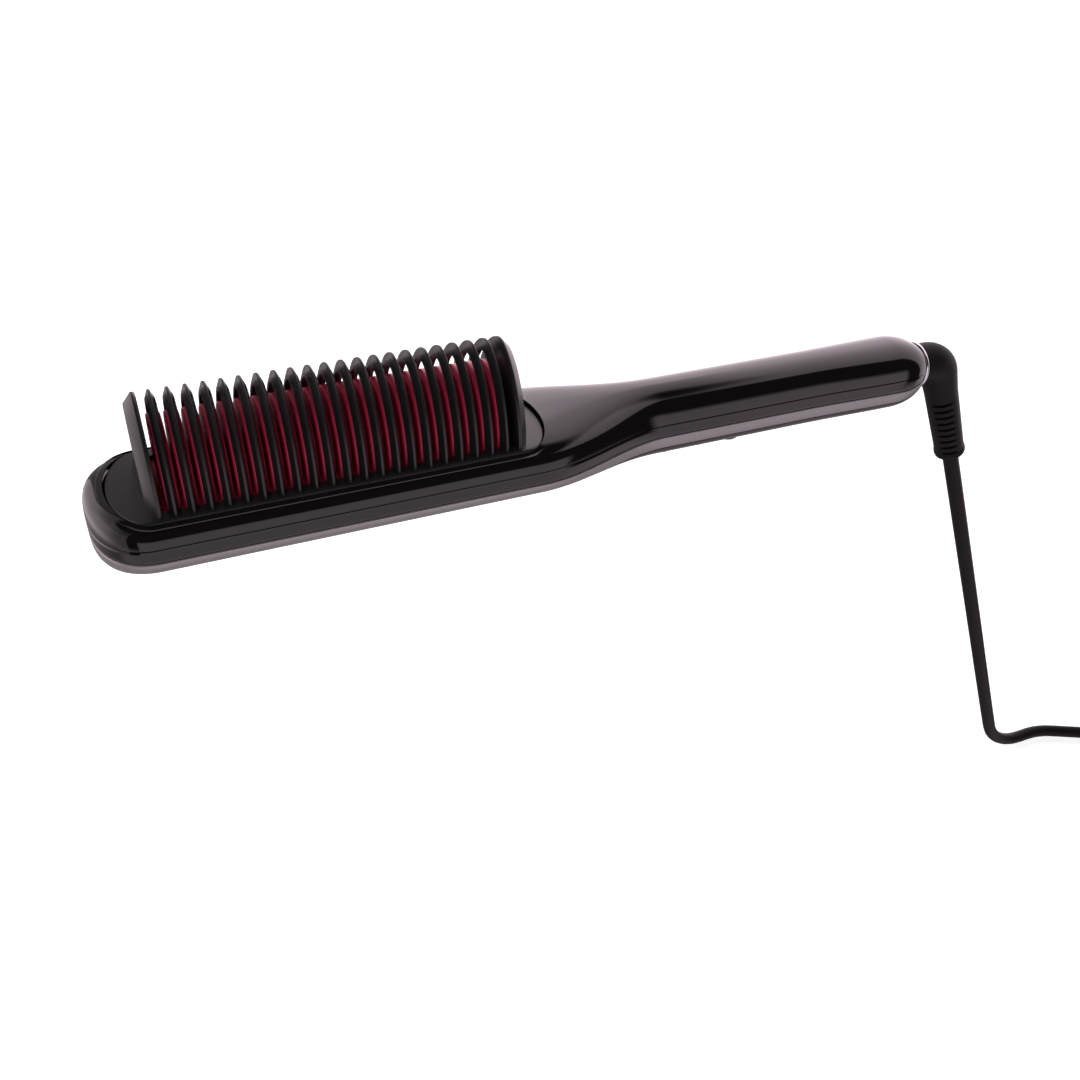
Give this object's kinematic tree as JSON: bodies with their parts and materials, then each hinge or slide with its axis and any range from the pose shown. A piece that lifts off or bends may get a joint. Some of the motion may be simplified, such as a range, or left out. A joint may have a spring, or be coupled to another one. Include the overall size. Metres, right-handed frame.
{
  "type": "heated straightening comb",
  "caption": "Heated straightening comb with a slim two-part handle, arched guard teeth over heating fins, push buttons under the grip and a mains cord on a swivel.",
  "frame": {"origin": "middle of the grip, on the parting plane of the casing", "axes": "+X runs along the handle towards the cord, +Z points out of the teeth, +Y points to the side"},
  "size_m": [0.6781, 0.0725, 0.3068],
  "materials": {
    "cover_black": "gloss",
    "trim_silver": "satin",
    "guard_black": "satin",
    "fin_red": "satin, red anodised",
    "ceramic": "matte, unglazed ceramic",
    "mica": "matte sheet mica",
    "spring_steel": "satin",
    "screw_steel": "zinc plated",
    "sensor_glass": "gloss bead",
    "board_green": "satin board with solder mask",
    "component_black": "matte",
    "component_blue": "satin",
    "display_grey": "satin",
    "window_smoke": "clear, smoked",
    "lead_red": "glass-fibre sleeve",
    "lead_blue": "satin insulation",
    "block_cream": "satin moulded nylon",
    "contact_brass": "bright",
    "ring_chrome": "bright",
    "core_black": "satin",
    "button_black": "satin",
    "cord_rubber": "matte",
    "strap_rubber": "matte"
  },
  "bodies": {
    "casing": {"upper_cover": "cover_black", "lower_cover": "cover_black", "trim_band": "trim_silver", "comb_guard": "guard_black", "heating_plate": "fin_red", "heater_bars": "ceramic", "mica_sheet": "mica", "heater_clamp": "spring_steel", "temperature_sensor": "sensor_glass", "thermal_fuse": "spring_steel", "guard_screws": "screw_steel", "case_screws": "screw_steel", "control_board": "board_green", "tact_switches": "component_black", "board_parts": "component_blue", "display_module": "display_grey", "display_window": "window_smoke", "heater_leads": "lead_red", "mains_leads": "lead_blue", "contact_block": "block_cream", "contact_springs": "contact_brass", "swivel_bush": "block_cream", "end_ring": "ring_chrome"},
    "swivel": {"swivel_core": "core_black", "slip_rings": "contact_brass", "cord_boot": "cord_rubber", "power_cord": "cord_rubber", "cord_hank": "cord_rubber", "cord_tail": "cord_rubber", "cord_tie": "strap_rubber", "plug_body": "cord_rubber", "plug_blades": "contact_brass"},
    "power_button": {"power_button": "button_black"},
    "plus_button": {"plus_button": "button_black"},
    "minus_button": {"minus_button": "button_black"}
  },
  "joints": [
    {"name": "cord_swivel", "type": "hinge", "parent": "casing", "child": "swivel", "pos_m": [0.059, 0, -0.0023], "axis": [1, 0, 0], "continuous": true},
    {"name": "power_press", "type": "slide", "parent": "casing", "child": "power_button", "axis": [0, 0, 1], "range_m": [0, 0.0005], "stiffness_N_per_m": 600, "springref_m": -0.001},
    {"name": "plus_press", "type": "slide", "parent": "casing", "child": "plus_button", "axis": [0, 0, 1], "range_m": [0, 0.0005], "stiffness_N_per_m": 600, "springref_m": -0.001},
    {"name": "minus_press", "type": "slide", "parent": "casing", "child": "minus_button", "axis": [0, 0, 1], "range_m": [0, 0.0005], "stiffness_N_per_m": 600, "springref_m": -0.001}
  ]
}
